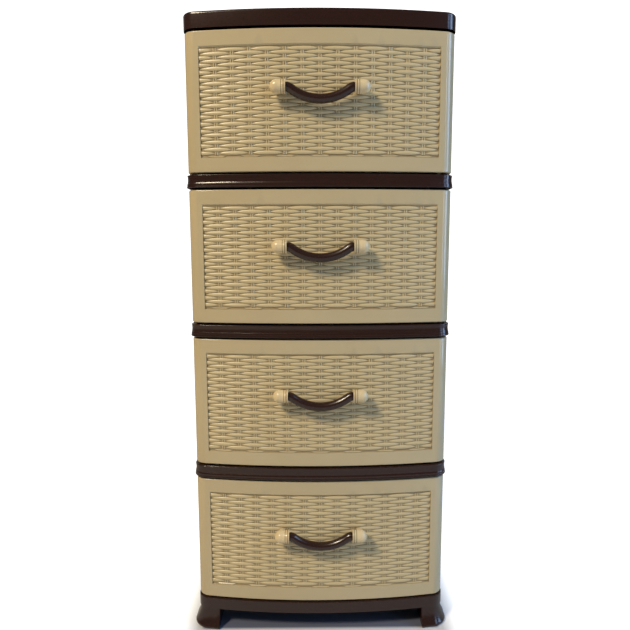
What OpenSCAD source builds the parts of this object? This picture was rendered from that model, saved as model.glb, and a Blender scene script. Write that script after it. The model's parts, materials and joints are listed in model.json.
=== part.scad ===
// Plastic drawer tower, rattan look: four moulded drawers in a cabinet of clipped frames and panels.
// Millimetres. +Z is up, the front faces -Y, +X is the viewer's right.
// The origin is on the floor, in the middle of the whole object's width and depth.

/* [Drawer fronts] */
// Width of a drawer front
front_w = 400; // [360:1:440]
// Height of a drawer front
front_h = 201; // [170:1:240]
// Radius of the bow that every front and frame shares, seen from above
bow_r = 1107.5; // [900:0.5:2500]
// Radius of the front vertical corners
corner_r = 20; // [16:1:26]
// Wall behind the woven panel
panel_back = 2.4; // [2:0.1:3.5]
// Depth of the recess that holds the woven panel
recess_d = 2.6; // [1.8:0.1:3.2]
// Plain margin left and right of the woven panel
margin_side = 23; // [18:1:40]
// Plain margin above the woven panel
margin_top = 23.5; // [16:0.5:40]
// Plain margin below the woven panel
margin_bottom = 21.5; // [16:0.5:40]
// Wall of the front's top, bottom and side returns
edge_wall = 2.8; // [2:0.1:4]
// Straight length of the side return behind the rounded corner
side_return = 12; // [6:1:24]
// Depth of the top and bottom flanges behind the face
flange_d = 10; // [9.5:0.1:13]
// Radius of the front's outer edges
edge_r = 2; // [1:0.1:2.5]

/* [Woven panel] */
// Height of a row of strands, rounded so that whole rows fill the recess
row_pitch = 5.2; // [5:0.1:8]
// Distance between stakes; a strand swells over one stake and ends behind its neighbours
stake_pitch = 25.6; // [22:0.1:34]
// Length of a strand's raised part
strand_len = 32; // [24:0.5:36]
// Length over which a strand keeps its full height
strand_full = 18; // [10:0.5:20]
// Height of a strand at its widest
strand_h = 4; // [3:0.1:4.4]
// How far a strand stands out from the recess floor
strand_proud = 1.2; // [0.6:0.1:1.6]

/* [Drawer boxes] */
// Distance of a box's sides inside the sides of the drawer front
box_inset = 13; // [12:0.5:30]
// Wall of a drawer box
box_wall = 2.2; // [1.6:0.1:3]
// Floor of a drawer box
box_floor = 2.4; // [1.6:0.1:4]
// Height of the box's sides and rear above its underside
box_side_h = 172; // [120:1:174]
// Radius of the box's front vertical corners
box_corner_r = 14; // [8:1:20]
// Length of the slope from the tall front wall down to the sides
shoulder = 25; // [10:1:60]
// Width of the rim around the top of the sides
rim_w = 4; // [2:0.5:5]
// Thickness of that rim
rim_t = 2; // [1.5:0.1:4]
// Width of each runner under the floor
skid_w = 6; // [4:0.5:10]
// Travel of a drawer from closed to its stop
travel = 320; // [200:1:360]

/* [Handles] */
// Distance of the bail's pivot axis in front of the drawer front
handle_reach = 12; // [12:0.5:20]
// Depth of the pivot axis below the drawer front's top edge
handle_drop = 84.5; // [60:0.5:110]
// Distance between the inner faces of the two end caps
grip_span = 99; // [80:1:130]
// Length of an end cap
cap_len = 23; // [20:0.5:30]
// Outside radius of an end cap
cap_r = 10.5; // [9.5:0.1:12]
// Radius of the bail's round bar
bail_r = 5.75; // [4.5:0.05:6.5]
// How far the bail's middle hangs below its pivot axis
bail_sag = 16.5; // [12:0.5:26]
// Radius of the bend where the bar leaves the cap
bail_bend_r = 12; // [9:0.5:20]
// Radius of the bail's pivot pins
pin_r = 3; // [2:0.1:3.5]
// Length of a pivot pin
pin_len = 9; // [6:0.5:10]
// Radius of the neck that carries a cap
neck_r = 7; // [6:0.1:8]
// Radius of the round seat on the woven panel
seat_r = 9.5; // [8.5:0.5:12]
// Radius of the handle screw
screw_r = 2; // [1.5:0.1:2.5]
// Radius of the handle screw's head
screw_head_r = 4; // [3.2:0.1:5]
// Depth of the screw in the cap's neck
screw_bite = 9; // [6:0.5:9]

/* [Cabinet] */
// Depth from the bow's foremost line to the rear panel line
body_d = 451; // [430:1:520]
// Radius of the rear vertical corners
rear_r = 12; // [11:0.5:18]
// Gap between a drawer front and the frame above or below it
front_gap = 3; // [2:0.1:5]
// Height of a spacer frame's rail
frame_h = 19; // [16:0.5:26]
// How far the spacer frames stand out past the drawer fronts
frame_proud = 3; // [2.6:0.1:5]
// Set-back of the rail's upper band behind its lower band
band_step = 1.2; // [0.6:0.1:1.4]
// Height of the rail's lower band
band_h = 7.6; // [6:0.1:9]
// Depth of the shallow flutes in both bands
flute_d = 0.5; // [0.2:0.1:0.7]
// Height of the top cover
cover_h = 24; // [18:0.5:36]
// How far the top cover stands out past the drawer fronts
cover_proud = 4; // [3.6:0.1:6]
// Radius of the top cover's upper edge
cover_edge_r = 2.5; // [1:0.1:2.5]
// Height of the base frame's rail
base_h = 18; // [16:0.5:26]
// How far the base frame stands out past the drawer fronts
base_proud = 2.6; // [2.6:0.1:4]
// Thickness of the frames' decks and the cover's plate
deck_t = 2.6; // [2:0.1:4]
// Width of the frames' side rails, which carry the drawers
rail_w = 34; // [28:1:44]
// Depth of the frames' front rail, measured at the middle of the bow
front_rail_d = 44; // [40:1:60]
// Depth of the shallow tray in the top cover
tray_d = 0.8; // [0.4:0.1:1.6]
// Width of the rim around that tray
tray_rim = 15; // [13:0.5:15]
// Wall of the frames' inner skirts and of the lips beside the panels
rib_t = 2; // [1.5:0.1:3]
// Height of the lips that hold the panels' lower edges
lip_h = 4.5; // [3:0.1:6]
// Depth of the grooves that take the panels' upper edges
groove_d = 6; // [4:0.1:8]

/* [Panels] */
// Thickness of the side and rear panels
panel_t = 3; // [2.6:0.1:4]
// Depth of the recessed field in the panels
field_d = 1.4; // [0.6:0.1:1.5]
// Plain margin around that field
field_margin = 22; // [14:1:40]
// Width of the side panels' rear flange, round the corner
flange_w = 22; // [20:1:30]

/* [Feet] */
// Height of a foot below the base frame
foot_h = 32; // [24:1:50]
// How far a foot's toe flares out past the base frame's face
foot_flare = 6.4; // [3:0.1:10]
// Radius of a foot's lower outer edge
toe_r = 4; // [2:0.5:6]
// Length of a foot along the cabinet's side
foot_len = 42; // [36:1:60]
// Wall of a foot, which is hollow and open below
foot_wall = 3; // [2:0.1:4]
// Radius of the spigot on a foot
spigot_r = 7; // [5:0.5:8]
// Height of that spigot
spigot_h = 12; // [8:0.5:13]

/* [Fits] */
// Clearance of the panels in their grooves and of the front on its box, each side
fit = 0.2; // [0.1:0.05:0.3]
// Gap between the drawers and what they slide on
slide_gap = 0.3; // [0.3:0.05:0.8]
// Sideways gap between the drawer runners and their guides
guide_gap = 1; // [0.5:0.1:1.5]
// Radial clearance of pins and spigots in their bores
pin_fit = 0.05; // [0.02:0.01:0.1]

/* [Hidden] */

CREAM = "#c9b68c";
CAP_CREAM = "#d9c79a";
BROWN = "#3a2620";
STEEL = "#9a9ca0";

$fn = 64;
BOW_FN = 360;
WIDE_ARC_FN = 180;
// Cutters reach this far past what they cut
over = 1;
// Parts of one moulding sink into each other by this much where they join
weld = 0.05;

// Plan of the whole: the outline of a drawer front, shared by all frames
half_w = front_w / 2;
total_d = handle_reach + cap_r + body_d + base_proud + foot_flare;
front_y = handle_reach + cap_r - total_d / 2;
rear_y = front_y + body_d;
bow_y = front_y + bow_r;
corner_x = half_w - corner_r;
bow_depth = sqrt(pow(bow_r - corner_r, 2) - pow(corner_x, 2));
corner_y = bow_y - bow_depth;
corner_centre = [corner_x, corner_y];
rear_corner_y = rear_y - rear_r;
return_y = corner_y + side_return;
// A point on the line from the bow's centre through a corner's centre, which is at k = 1
function on_corner_line(c, k) = [k * c[0], bow_y + k * (c[1] - bow_y)];

// Heights, with drawer 1 at the top
tier_pitch = front_h + 2 * front_gap + frame_h;
base_top = foot_h + base_h;
function deck_z(i) = base_top + (4 - i) * tier_pitch;
function front_z(i) = deck_z(i) + front_gap;
function frame_z(i) = deck_z(i) - frame_h;
cover_z = deck_z(1) + front_h + 2 * front_gap;

// Radius of the frames' lower outer edges, and how far the lips stand back from the faces
low_edge_r = 0.6;
lip_set_back = 0.4;
opening_r = 8;

// Panels stand in a channel that is the same distance inside every frame's face
outer_lip_t = 1.6;
panel_out = base_proud - outer_lip_t - fit;
panel_in = panel_out - panel_t;
lip_in = panel_in - fit - rib_t;
face_in = panel_out + fit;
core_out = face_in + weld;
panel_y = return_y + rib_t;
panel_h = front_h + 2 * front_gap + groove_d - fit;
// Lips and grooves hide this much of a panel's foot and head on the inside
panel_foot = lip_h + 1;
panel_clear_h = panel_h - groove_d - 1 - panel_foot;
open_half = half_w + frame_proud - rail_w;
open_front = front_y + front_rail_d;
open_rear = rear_y + frame_proud - rail_w;

// Drawer front and box
face_t = panel_back + recess_d;
recess_half = half_w - margin_side;
recess_h = front_h - margin_top - margin_bottom;
box_half = half_w - box_inset;
box_bow = bow_r - face_t - fit;
box_corner_x = box_half - box_corner_r;
// The box's front corners stand this far proud, so that their arcs cross the bow's
box_corner_proud = fit / 2;
box_corner_y = bow_y - sqrt(pow(box_bow - box_corner_r, 2) - pow(box_corner_x, 2)) - box_corner_proud;
box_rear_gap = 6;
box_rear = rear_y + lip_in - box_rear_gap;
box_rear_r = 10;
box_z = edge_wall + fit;
box_front_h = front_h - 2 * box_z;
skid_h = front_gap + box_z - slide_gap;
skid_lead = 6;
skid_y = return_y - skid_lead;
hook_inset = 20;

// Drawer stops: lugs under each rail and tabs on the boxes, which overlap by the bite
stop_drop = 7;
stop_bite = 4;
stop_inset = 5;
stop_half = box_half - stop_inset;
stop_w = 10;
stop_len = 8;

// Feet
foot_in = half_w - rail_w + 4;
foot_core = rear_r / 2;
foot_rim = 2;
spigot_set_back = 8;
front_spigot_y = corner_y + spigot_set_back;
rear_spigot_y = rear_y - rail_w / 2 - 1;
socket_wall = 3;

// Handle: the mouth is the wide start of a cap's bore, the seat the plane where its neck ends
cap_x = grip_span / 2;
screw_x = cap_x + cap_len / 2;
mouth_d = 3;
mouth_r = bail_r + 1.2;
shoulder_gap = 0.5;
seat_y = front_y + 2.2;
head_chamfer = 1.2;
handle_y = front_y - handle_reach;
function handle_z(i) = front_z(i) + front_h - handle_drop;
head_y = bow_y - sqrt(pow(box_bow - box_wall, 2) - pow(screw_x + screw_head_r + over, 2)) + 0.4;

// ---------- outlines and sweeps ----------

// Slice of the plan between the lines from the bow's centre through both front corners' centres
module bow_slice(c = corner_centre) {
    near = on_corner_line(c, 0.9);
    far = on_corner_line(c, 1.2);
    polygon([near, far, [-far[0], far[1]], [-near[0], near[1]]]);
}

// Slice of the plan around the right front corner's centre
module corner_slice() {
    far = on_corner_line(corner_centre, 1.2);
    polygon([corner_centre, far, [2 * half_w, far[1]], [2 * half_w, corner_y]]);
}

// A plan with a bowed front: bow radius, front corner's centre and radius, half width, rear line and corner
module bowed_plan(bow, c, corner, half, rear, rear_corner) {
    intersection() {
        translate([0, bow_y]) circle(bow, $fn = BOW_FN);
        bow_slice(c);
    }
    for (side = [-1, 1]) {
        translate([side * c[0], c[1]]) circle(corner);
        translate([side * (half - rear_corner), rear - rear_corner]) circle(rear_corner);
    }
    translate([-half, c[1]]) square([2 * half, rear - rear_corner - c[1]]);
    translate([-half + rear_corner, c[1]]) square([2 * (half - rear_corner), rear - c[1]]);
}

// The shared outline, grown outwards by a distance
module plan(grow = 0) {
    bowed_plan(bow_r + grow, corner_centre, corner_r + grow, half_w + grow, rear_y + grow, rear_r + grow);
}

module plan_ring(outer, inner) {
    difference() {
        plan(outer);
        plan(inner);
    }
}

// Everything behind a line across the cabinet
module behind(y) {
    translate([-front_w, y]) square([2 * front_w, 2 * body_d]);
}

// A section turned about an upright axis and cut to a slice of the plan
module turned(x, y, r, fn) {
    intersection() {
        translate([x, y, 0]) rotate_extrude($fn = fn) translate([r, 0]) children(0);
        linear_extrude(4 * cover_h, center = true) children(1);
    }
}

// Sweep a section along the bow and the two front corners; the section's x is the distance outwards
module sweep_front() {
    turned(0, bow_y, bow_r, BOW_FN) {
        children();
        bow_slice();
    }
    for (side = [0, 1]) mirror([side, 0, 0]) turned(corner_x, corner_y, corner_r, $fn) {
        children();
        corner_slice();
    }
}

// Carry that section along both sides to a line across the cabinet
module sweep_sides(to_y) {
    for (side = [0, 1]) mirror([side, 0, 0]) translate([half_w, to_y, 0])
        rotate([90, 0, 0]) linear_extrude(to_y - corner_y) children();
}

module sweep_rear() {
    for (side = [0, 1]) mirror([side, 0, 0]) turned(half_w - rear_r, rear_corner_y, rear_r, $fn) {
        children();
        translate([half_w - rear_r, rear_corner_y]) square(2 * rear_r + cover_proud);
    }
    translate([rear_r - half_w, rear_y, 0])
        rotate([90, 0, 90]) linear_extrude(front_w - 2 * rear_r) children();
}

module sweep_all() {
    sweep_front() children();
    sweep_sides(rear_corner_y) children();
    sweep_rear() children();
}

// ---------- frames ----------

// A band of a rail's face with rounded free edges: its outward reach, height and edge radii
module face_band(reach, from_z, to_z, low_r, top_r) {
    difference() {
        translate([face_in, from_z]) square([reach - face_in, to_z - from_z]);
        if (low_r > 0) translate([reach - low_r, from_z]) mirror([0, 1]) corner_waste(low_r);
        if (top_r > 0) translate([reach - top_r, to_z]) corner_waste(top_r);
    }
}

// What a rounding of radius r takes off a square corner that points right and up
module corner_waste(r) {
    difference() {
        translate([0, -r]) square([r + over, r + over]);
        translate([0, -r]) circle(r);
    }
}

// A shallow flute across a band, centred on its height
module flute(reach, from_z, to_z) {
    chord = (to_z - from_z) / 2;
    r = (chord * chord + flute_d * flute_d) / (2 * flute_d);
    translate([reach + r - flute_d, (from_z + to_z) / 2]) circle(r);
}

module spacer_face() {
    upper = frame_proud - band_step;
    low_r = 1;
    step_r = 0.5;
    top_r = upper - core_out;
    flat = 0.3;
    difference() {
        union() {
            face_band(frame_proud, 0, band_h, low_r, step_r);
            face_band(upper, band_h - weld, frame_h, 0, top_r);
        }
        flute(frame_proud, low_r + flat, band_h - step_r - flat);
        flute(upper, band_h + flat, frame_h - top_r - flat);
    }
}

module cover_face() {
    face_band(cover_proud, 0, cover_h, low_edge_r, cover_edge_r);
}

module base_face() {
    face_band(base_proud, 0, base_h, low_edge_r, base_proud - core_out);
}

// Channel along both sides and the rear that takes the lower edges of the panels
module panel_channel(z, face) {
    translate([0, 0, z - weld]) linear_extrude(lip_h + weld) intersection() {
        union() {
            plan_ring(face, face_in);
            plan_ring(panel_in - fit, lip_in);
        }
        behind(panel_y - fit);
    }
}

// Solid beam over the groove that takes the upper edges of the panels
module panel_groove(h) {
    difference() {
        linear_extrude(h) intersection() {
            plan_ring(core_out, lip_in);
            behind(panel_y - fit - rib_t);
        }
        translate([0, 0, -over]) linear_extrude(groove_d + over) intersection() {
            plan_ring(face_in, panel_in - fit);
            behind(panel_y - fit);
        }
    }
}

// The opening in a frame's deck, grown outwards by a distance
module opening(grow = 0) {
    half_x = open_half + grow;
    half_y = (open_rear - open_front) / 2 + grow;
    translate([0, (open_front + open_rear) / 2]) difference() {
        square([2 * half_x, 2 * half_y], center = true);
        for (x = [0, 1], y = [0, 1]) mirror([x, 0]) mirror([0, y])
            translate([half_x - opening_r, half_y - opening_r]) difference() {
                square(opening_r + over);
                circle(opening_r);
            }
    }
}

// Deck, inner skirt and cross webs shared by the spacer and base frames
module frame_core(h) {
    translate([0, 0, h - deck_t]) linear_extrude(deck_t) difference() {
        plan(core_out);
        opening();
    }
    linear_extrude(h) difference() {
        opening(rib_t);
        opening();
    }
    web_h = h - deck_t + weld - groove_d;
    side_webs = 6;
    for (side = [0, 1], k = [0:side_webs]) {
        web_y = open_front + (open_rear - open_front) * k / side_webs;
        mirror([side, 0, 0]) translate([open_half + rib_t / 2, web_y - rib_t / 2, groove_d])
            cube([half_w + lip_in + weld - open_half - rib_t / 2, rib_t, web_h]);
    }
    web_pitch = open_half / 3.5;
    for (x = [-3 * web_pitch : web_pitch : 3.1 * web_pitch]) {
        translate([x - rib_t / 2, open_rear + rib_t / 2, groove_d])
            cube([rib_t, rear_y + lip_in + weld - open_rear - rib_t / 2, web_h]);
        front_web(x, groove_d, web_h);
    }
}

// A web from the inner skirt forwards to the back of the bowed face
module front_web(x, z, h) {
    translate([0, 0, z]) linear_extrude(h) intersection() {
        plan(core_out);
        translate([x - rib_t / 2, front_y - over]) square([rib_t, front_rail_d + over - rib_t / 2]);
    }
}

// Ribs that steer the drawer's runners along the side rails
module drawer_guides(z) {
    guide_x = box_half + guide_gap;
    for (side = [0, 1]) mirror([side, 0, 0])
        translate([guide_x, panel_y, z - weld])
            cube([rib_t, open_rear - panel_y, lip_h + weld]);
}

// Lugs that hang below a rail of height h and catch the drawer's rear tabs at full travel
module drawer_stops(h) {
    stop_y = box_rear - box_wall - travel - slide_gap;
    for (side = [0, 1]) mirror([side, 0, 0])
        translate([stop_half - stop_w, stop_y - stop_len, -stop_drop])
            cube([stop_w, stop_len, stop_drop + h - deck_t + weld]);
}

module spacer_frame(i) {
    color(BROWN) translate([0, 0, frame_z(i)]) {
        sweep_all() spacer_face();
        frame_core(frame_h);
        panel_groove(frame_h);
        panel_channel(frame_h, frame_proud - band_step - lip_set_back);
        drawer_guides(frame_h);
        drawer_stops(frame_h);
    }
}

module base_frame() {
    color(BROWN) translate([0, 0, foot_h]) difference() {
        union() {
            sweep_all() base_face();
            frame_core(base_h);
            linear_extrude(base_h) plan_ring(core_out, lip_in);
            panel_channel(base_h, base_proud - lip_set_back);
            drawer_guides(base_h);
            at_feet() cylinder(r = spigot_r + socket_wall, h = base_h - deck_t + weld);
        }
        at_feet() translate([0, 0, -over]) cylinder(r = spigot_r + pin_fit, h = spigot_h + over + fit);
    }
}

module top_cover() {
    color(BROWN) translate([0, 0, cover_z]) difference() {
        union() {
            sweep_all() cover_face();
            translate([0, 0, cover_h - deck_t]) linear_extrude(deck_t) plan(core_out);
            panel_groove(cover_h - weld);
            cover_ribs();
            drawer_stops(cover_h);
        }
        translate([0, 0, cover_h - tray_d]) linear_extrude(over + tray_d) plan(cover_proud - tray_rim);
    }
}

// Stiffening grid under the cover's plate
module cover_ribs() {
    rib_h = 8;
    pitch_x = half_w / 3.6;
    pitch_y = (rear_y - corner_y) / 6;
    reach = half_w + lip_in + weld;
    translate([0, 0, cover_h - deck_t - rib_h + weld]) linear_extrude(rib_h) intersection() {
        plan(core_out);
        union() {
            for (k = [-3:3]) translate([k * pitch_x - rib_t / 2, front_y - cover_proud])
                square([rib_t, rear_y - front_y + cover_proud + lip_in + weld]);
            for (k = [0:5]) translate([-reach, corner_y + k * pitch_y]) square([2 * reach, rib_t]);
        }
    }
}

// ---------- panels ----------

module side_panel(i, side) {
    color(CREAM) mirror([side, 0, 0]) translate([0, 0, deck_z(i)]) difference() {
        union() {
            linear_extrude(panel_h) intersection() {
                plan_ring(panel_out, panel_in);
                translate([half_w - flange_w, panel_y]) square([front_w, 2 * body_d]);
            }
            side_panel_ribs();
        }
        translate([half_w + panel_out - field_d, panel_y + field_margin, field_margin])
            cube([field_d + over, rear_corner_y - panel_y - 2 * field_margin,
                  panel_h - groove_d - 2 * field_margin]);
    }
}

// Front return and upright ribs inside a side panel, clear of the frame's lips
module side_panel_ribs() {
    return_w = 5;
    rib_w = 1.5;
    pitch = (rear_corner_y - panel_y) / 5;
    translate([half_w + panel_in - return_w, panel_y, panel_foot])
        cube([return_w + weld, rib_t, panel_clear_h]);
    for (k = [1:4]) translate([half_w + panel_in - rib_w, panel_y + k * pitch, panel_foot])
        cube([rib_w + weld, rib_t, panel_clear_h]);
}

module rear_panel(i) {
    half = half_w - flange_w - fit;
    color(CREAM) translate([0, 0, deck_z(i)]) difference() {
        union() {
            linear_extrude(panel_h) intersection() {
                plan_ring(panel_out, panel_in);
                translate([-half, rear_corner_y]) square([2 * half, body_d]);
            }
            rear_panel_tongues(half);
        }
        translate([-half + field_margin, rear_y + panel_out - field_d, field_margin])
            cube([2 * (half - field_margin), field_d + over, panel_h - groove_d - 2 * field_margin]);
    }
}

// Tongues that lap inside the side panels' rear flanges, up to where their corners begin to curve
module rear_panel_tongues(half) {
    tongue_t = 1.8;
    root = 7;
    inner_y = rear_y + panel_in - fit - tongue_t;
    for (side = [0, 1]) mirror([side, 0, 0]) translate([half - root, inner_y, panel_foot]) {
        cube([half_w - rear_r - 1 - half + root, tongue_t, panel_clear_h]);
        cube([root, tongue_t + fit + weld, panel_clear_h]);
    }
}

// ---------- feet ----------

// Places the four spigots
module at_feet() {
    for (side = [-1, 1]) {
        translate([side * (half_w - rail_w / 2), front_spigot_y, 0]) children();
        translate([side * (half_w - rail_w / 2), rear_spigot_y, 0]) children();
    }
}

// Flared outline of a foot's outer side, from the base frame's underside to the floor
module foot_outline(wall = 0) {
    top = base_proud - low_edge_r;
    toe = base_proud + foot_flare;
    rise = foot_h - toe_r;
    run = toe - top;
    r = (run * run + rise * rise) / (2 * run);
    inner = -foot_core - over;
    difference() {
        translate([inner, 0]) square([toe - inner, foot_h]);
        translate([top + r, foot_h]) circle(r + wall, $fn = WIDE_ARC_FN);
        translate([toe - toe_r, 0]) mirror([0, 1]) corner_waste(toe_r);
    }
}

// The outer wall itself, with its share of the roof
module foot_section() {
    toe = base_proud + foot_flare;
    difference() {
        foot_outline();
        intersection() {
            foot_outline(foot_wall);
            translate([-foot_core - 2 * over, -over])
                square([toe - toe_r - foot_rim + foot_core + 2 * over, foot_h - foot_wall + over]);
        }
    }
}

// Roof of a foot and its two plain walls, inside a box given by its corner and size
module foot_inside(from, size, wall_y) {
    translate([0, 0, foot_h - foot_wall]) linear_extrude(foot_wall) intersection() {
        plan(-foot_core);
        translate(from) square(size);
    }
    linear_extrude(foot_h) intersection() {
        plan(-foot_core);
        union() {
            translate(from) square([foot_wall, size[1]]);
            translate([from[0], wall_y]) square([size[0], foot_wall]);
        }
    }
}

// Slice of the bow from a front foot's inner end, this long
module foot_bow_slice(len) {
    intersection() {
        bow_slice();
        translate([foot_in, front_y - 2 * foot_flare]) square([len, 2 * half_w]);
    }
}

module foot_front(side) {
    end_y = corner_y + foot_len / 2;
    color(BROWN) mirror([side, 0, 0]) {
        turned(0, bow_y, bow_r, BOW_FN) {
            foot_section();
            foot_bow_slice(2 * half_w);
        }
        turned(0, bow_y, bow_r, BOW_FN) {
            foot_outline();
            foot_bow_slice(foot_wall);
        }
        turned(corner_x, corner_y, corner_r, $fn) {
            foot_section();
            corner_slice();
        }
        translate([half_w, end_y, 0]) rotate([90, 0, 0]) linear_extrude(foot_len / 2) foot_section();
        translate([half_w, end_y, 0]) rotate([90, 0, 0]) linear_extrude(foot_wall) foot_outline();
        foot_inside([foot_in, front_y], [half_w - foot_in, end_y - front_y], end_y - foot_wall);
        foot_spigot(front_spigot_y);
    }
}

module foot_rear(side) {
    start_y = rear_y - foot_len;
    color(BROWN) mirror([side, 0, 0]) {
        turned(half_w - rear_r, rear_corner_y, rear_r, $fn) {
            foot_section();
            translate([half_w - rear_r, rear_corner_y]) square(2 * rear_r + foot_flare);
        }
        translate([half_w, rear_corner_y, 0]) rotate([90, 0, 0])
            linear_extrude(foot_len - rear_r) foot_section();
        translate([foot_in, rear_y, 0]) rotate([90, 0, 90])
            linear_extrude(half_w - rear_r - foot_in) foot_section();
        translate([half_w, start_y + foot_wall, 0]) rotate([90, 0, 0])
            linear_extrude(foot_wall) foot_outline();
        translate([foot_in, rear_y, 0]) rotate([90, 0, 90]) linear_extrude(foot_wall) foot_outline();
        foot_inside([foot_in, start_y], [half_w - foot_in, foot_len], start_y);
        foot_spigot(rear_spigot_y);
    }
}

module foot_spigot(y) {
    translate([half_w - rail_w / 2, y, foot_h - weld]) cylinder(r = spigot_r, h = spigot_h + weld);
}

// ---------- drawers ----------

// Rounds the outer edge at the top of a drawer front; the arc meets the faces at a slight angle
module edge_waste() {
    ease = edge_r / 80;
    sweep_front() translate([ease - edge_r, ease]) corner_waste(edge_r);
    sweep_sides(return_y + over) translate([ease - edge_r, ease]) corner_waste(edge_r);
}

module drawer_front(i) {
    color(CREAM) translate([0, 0, front_z(i)]) {
        difference() {
            linear_extrude(front_h) front_slice(0);
            translate([0, 0, edge_wall]) linear_extrude(front_h - 2 * edge_wall) front_hollow();
            translate([0, 0, -over]) linear_extrude(front_h + 2 * over) plan(-flange_d);
            woven_recess();
            translate([0, 0, front_h]) edge_waste();
            mirror([0, 0, 1]) edge_waste();
            screw_holes(front_h - handle_drop);
        }
        woven_relief();
        handle_seats();
        hook_lip();
    }
}

module front_slice(grow) {
    difference() {
        plan(grow);
        behind(return_y);
    }
}

// Hollow behind the face, between the side returns
module front_hollow() {
    bowed_plan(bow_r - face_t, corner_centre, corner_r - edge_wall, half_w - edge_wall, rear_y, rear_r);
}

module woven_recess() {
    translate([0, 0, margin_bottom]) linear_extrude(recess_h) difference() {
        translate([-recess_half, front_y - over]) square([2 * recess_half, corner_y - front_y]);
        translate([0, bow_y]) circle(bow_r - recess_d, $fn = BOW_FN);
    }
}

// The moulded weave on the recess floor: rows of flat-topped strands that alternate as bricks do,
// left out under the middle of each handle seat
module woven_relief() {
    floor_r = bow_r - recess_d;
    to_degrees = 180 / PI;
    half_arc = floor_r * asin(recess_half / floor_r) / to_degrees;
    rows = round(recess_h / row_pitch);
    most = ceil(half_arc / stake_pitch / 2);
    least_shown = 4;
    difference() {
        for (row = [0 : rows - 1], k = [-most : most]) {
            along = (2 * k + (row + 1) % 2) * stake_pitch;
            room = half_arc - abs(along);
            if (room > least_shown - strand_len / 2)
                translate([0, bow_y, margin_bottom + recess_h * (1 - (row + 0.5) / rows)])
                    mirror([along < 0 ? 1 : 0, 0, 0]) rotate([0, 0, abs(along) / floor_r * to_degrees])
                        strand(floor_r, room);
        }
        at_screws(front_h - handle_drop) translate([0, 0, front_y])
            cylinder(r = seat_r - over, h = 2 * face_t);
    }
}

// One strand at the foremost line of a floor of that radius; its right end stops where the panel ends
module strand(floor_r, room) {
    sunk = 0.4;
    into_margin = 0.5;
    reach = room + into_margin;
    translate([0, -floor_r - strand_proud, 0]) rotate([-90, 0, 0]) linear_extrude(strand_proud + sunk) {
        if (reach < strand_len / 2) intersection() {
            strand_outline();
            translate([reach - strand_len, -strand_h]) square([strand_len, 2 * strand_h]);
        }
        else strand_outline();
    }
}

module strand_outline() {
    tip = strand_len / 2;
    full = strand_full / 2;
    polygon([
        [-tip, 0],
        [-full, strand_h / 2],
        [full, strand_h / 2],
        [tip, 0],
        [full, -strand_h / 2],
        [-full, -strand_h / 2],
    ]);
}

// Places children at the two screws, with their Z axis pointing to the rear
module at_screws(z) {
    for (side = [-1, 1]) translate([side * screw_x, 0, z]) rotate([-90, 0, 0]) children();
}

// Clearance holes for the screws, through the drawer front and the box's front wall
module screw_holes(z) {
    at_screws(z) translate([0, 0, front_y - over]) cylinder(r = screw_r + fit, h = 3 * flange_d);
}

// Flat round seats for the handle's necks, level with the face around the woven panel
module handle_seats() {
    z = front_h - handle_drop;
    difference() {
        at_screws(z) translate([0, 0, seat_y]) cylinder(r = seat_r, h = face_t - 1);
        screw_holes(z);
        linear_extrude(front_h) translate([0, bow_y]) circle(bow_r - recess_d - weld, $fn = BOW_FN);
    }
}

// Lip under the top flange that hooks behind the box's front wall
module hook_lip() {
    half = corner_x - hook_inset;
    drop = 5;
    inner = face_t + fit + box_wall + fit;
    translate([0, 0, front_h - edge_wall - drop]) linear_extrude(drop + weld) intersection() {
        difference() {
            translate([0, bow_y]) circle(bow_r - inner, $fn = BOW_FN);
            translate([0, bow_y]) circle(bow_r - flange_d, $fn = BOW_FN);
        }
        translate([-half, front_y]) square([2 * half, corner_y - front_y]);
    }
}

module box_plan(shrink = 0) {
    bowed_plan(box_bow - shrink, [box_corner_x, box_corner_y], box_corner_r - shrink,
               box_half - shrink, box_rear - shrink, box_rear_r - shrink);
}

module drawer_box(i) {
    color(CREAM) translate([0, 0, front_z(i) + box_z]) difference() {
        union() {
            box_shell();
            box_rim();
            box_runners();
            box_tabs();
            screw_pads();
        }
        screw_holes(front_h - handle_drop - box_z);
    }
}

module box_shell() {
    slope_y = return_y;
    difference() {
        linear_extrude(box_front_h) box_plan();
        translate([0, 0, box_floor]) linear_extrude(box_front_h) box_plan(box_wall);
        rotate([90, 0, 90]) linear_extrude(2 * front_w, center = true) polygon([
            [slope_y, box_front_h + over],
            [slope_y, box_front_h],
            [slope_y + shoulder, box_side_h],
            [rear_y, box_side_h],
            [rear_y, box_front_h + over],
        ]);
    }
}

module box_rim() {
    translate([0, 0, box_side_h - rim_t]) linear_extrude(rim_t) difference() {
        box_plan(-rim_w);
        box_plan(weld);
        translate([-front_w, front_y - over]) square([2 * front_w, return_y + shoulder - front_y + over]);
    }
}

// Runners that slide on the side rails, and low ribs that stiffen the floor between them
module box_runners() {
    rib_drop = 2;
    len = box_rear - box_rear_r - skid_y;
    for (side = [0, 1]) mirror([side, 0, 0]) translate([box_half - skid_w, skid_y, -skid_h])
        cube([skid_w, len, skid_h + weld]);
    for (k = [-1:1]) translate([k * box_half / 2 - rib_t / 2, skid_y, -rib_drop])
        cube([rib_t, len, rib_drop + weld]);
}

// Tabs on the rear wall that meet the stop lugs of the rail above
module box_tabs() {
    top = front_h + front_gap - box_z - stop_drop + stop_bite;
    tab_w = stop_w + 2;
    foot = box_side_h - rim_t;
    for (side = [0, 1]) mirror([side, 0, 0])
        translate([stop_half - tab_w, box_rear - box_wall, foot]) cube([tab_w, box_wall, top - foot]);
}

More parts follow.
